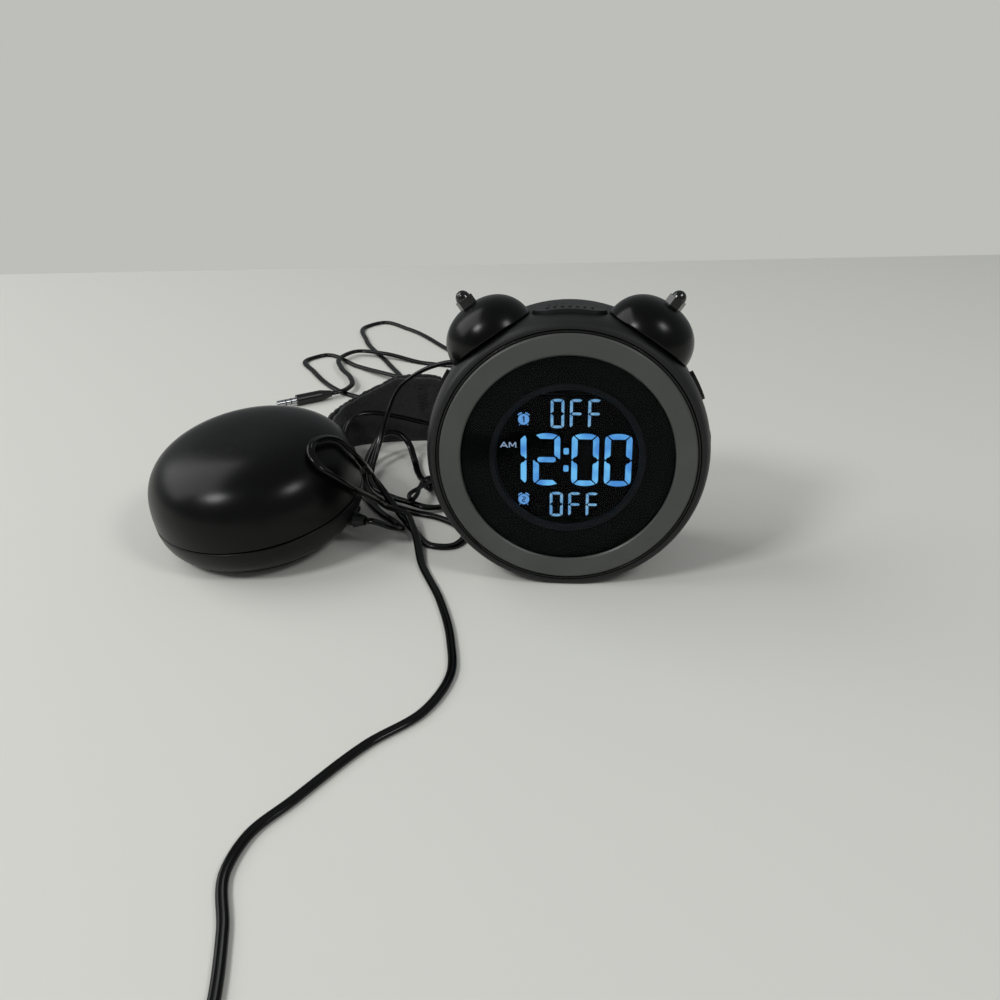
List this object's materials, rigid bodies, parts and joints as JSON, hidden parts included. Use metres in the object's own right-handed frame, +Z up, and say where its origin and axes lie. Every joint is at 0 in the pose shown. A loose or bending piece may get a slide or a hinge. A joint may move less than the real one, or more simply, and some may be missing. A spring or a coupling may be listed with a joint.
{
  "type": "bed shaker alarm clock",
  "caption": "Round twin-bell digital alarm clock that leans back on a foot, with a domed vibrating puck, its strap and two cords.",
  "frame": {"origin": "on the table, under the middle of the clock's rubber foot", "axes": "+X to the right of someone reading the clock, +Y away from them, +Z up; the clock leans back by 6.1 degrees about X"},
  "size_m": [0.2215, 0.5475, 0.1047],
  "materials": {
    "case": "satin",
    "case_back": "satin",
    "gloss_black": "gloss",
    "ring": "satin",
    "window": "polished",
    "inner_black": "matte",
    "frame_grey": "matte",
    "lcd": "gloss",
    "digits": "lit",
    "white_plastic": "matte",
    "board": "satin",
    "lamps": "gloss",
    "chips": "matte",
    "steel": "satin",
    "button": "satin",
    "bell": "satin",
    "nut": "gloss",
    "rubber": "matte",
    "cone": "matte",
    "magnet": "plain",
    "lead": "satin",
    "socket": "matte",
    "knob": "satin",
    "puck": "soft",
    "puck_base": "soft",
    "clamp": "satin",
    "weight": "satin",
    "cord": "gloss",
    "plug": "satin",
    "strap": "woven"
  },
  "bodies": {
    "clock_and_puck": {"case_shell": "case", "front_bezel": "gloss_black", "light_ring": "ring", "display_lens": "window", "display_carrier": "inner_black", "display_frame": "frame_grey", "lcd_panel": "lcd", "time_digits": "digits", "backlight": "white_plastic", "led_board": "board", "ring_leds": "lamps", "main_board": "board", "board_chips": "chips", "board_screws": "steel", "button_switches": "chips", "left_bell": "bell", "right_bell": "bell", "bell_studs": "steel", "cap_nuts": "nut", "rubber_foot": "rubber", "rear_cover": "case_back", "cover_screws": "steel", "speaker_frame": "steel", "speaker_cone": "cone", "speaker_magnet": "magnet", "speaker_lead": "lead", "jack_board": "board", "power_jack": "socket", "shaker_jack": "socket", "battery_holder": "white_plastic", "coin_cell": "steel", "puck_upper_shell": "puck", "puck_lower_shell": "puck_base", "puck_base_pad": "rubber", "puck_motor": "steel", "motor_clamp": "clamp", "clamp_screws": "steel", "puck_screws": "steel", "puck_cord_relief": "cord", "puck_strap": "strap", "shaker_cord": "cord", "shaker_plug": "plug", "hank_tie": "plug", "power_cord": "cord", "power_coil": "cord", "coil_tie": "plug", "power_plug": "plug", "usb_plug": "plug"},
    "snooze": {"snooze_button": "button"},
    "right_upper": {"right_upper_button": "button"},
    "right_lower": {"right_lower_button": "button"},
    "left_upper": {"left_upper_button": "button"},
    "left_lower": {"left_lower_button": "button"},
    "volume": {"volume_switch": "knob"},
    "dimmer": {"dimmer_switch": "knob"},
    "door": {"battery_door": "case_back"},
    "rotor": {"motor_shaft": "steel", "eccentric_weight": "weight"}
  },
  "joints": [
    {"name": "snooze_press", "type": "slide", "parent": "clock_and_puck", "child": "snooze", "axis": [0, -0.1063, -0.9943], "range_m": [0, 0.0007], "stiffness_N_per_m": 800, "springref_m": -0.0003},
    {"name": "right_upper_press", "type": "slide", "parent": "clock_and_puck", "child": "right_upper", "axis": [-0.8988, -0.0466, -0.4359], "range_m": [0, 0.0007], "stiffness_N_per_m": 800, "springref_m": -0.0003},
    {"name": "right_lower_press", "type": "slide", "parent": "clock_and_puck", "child": "right_lower", "axis": [-1, 0, 0], "range_m": [0, 0.0007], "stiffness_N_per_m": 800, "springref_m": -0.0003},
    {"name": "left_upper_press", "type": "slide", "parent": "clock_and_puck", "child": "left_upper", "axis": [0.8988, -0.0466, -0.4359], "range_m": [0, 0.0007], "stiffness_N_per_m": 800, "springref_m": -0.0003},
    {"name": "left_lower_press", "type": "slide", "parent": "clock_and_puck", "child": "left_lower", "axis": [1, 0, 0], "range_m": [0, 0.0007], "stiffness_N_per_m": 800, "springref_m": -0.0003},
    {"name": "volume_slide", "type": "slide", "parent": "clock_and_puck", "child": "volume", "axis": [1, 0, 0], "range_m": [0, 0.003]},
    {"name": "dimmer_slide", "type": "slide", "parent": "clock_and_puck", "child": "dimmer", "axis": [1, 0, 0], "range_m": [0, 0.003]},
    {"name": "door_turn", "type": "hinge", "parent": "clock_and_puck", "child": "door", "pos_m": [0.0155, 0.0276, 0.06201], "axis": [0, 0.9943, -0.1063], "range_deg": [0, 35]},
    {"name": "motor_spin", "type": "hinge", "parent": "clock_and_puck", "child": "rotor", "pos_m": [-0.1276, 0.0097, 0.01882], "axis": [0.9973, 0, 0.0732], "continuous": true}
  ]
}
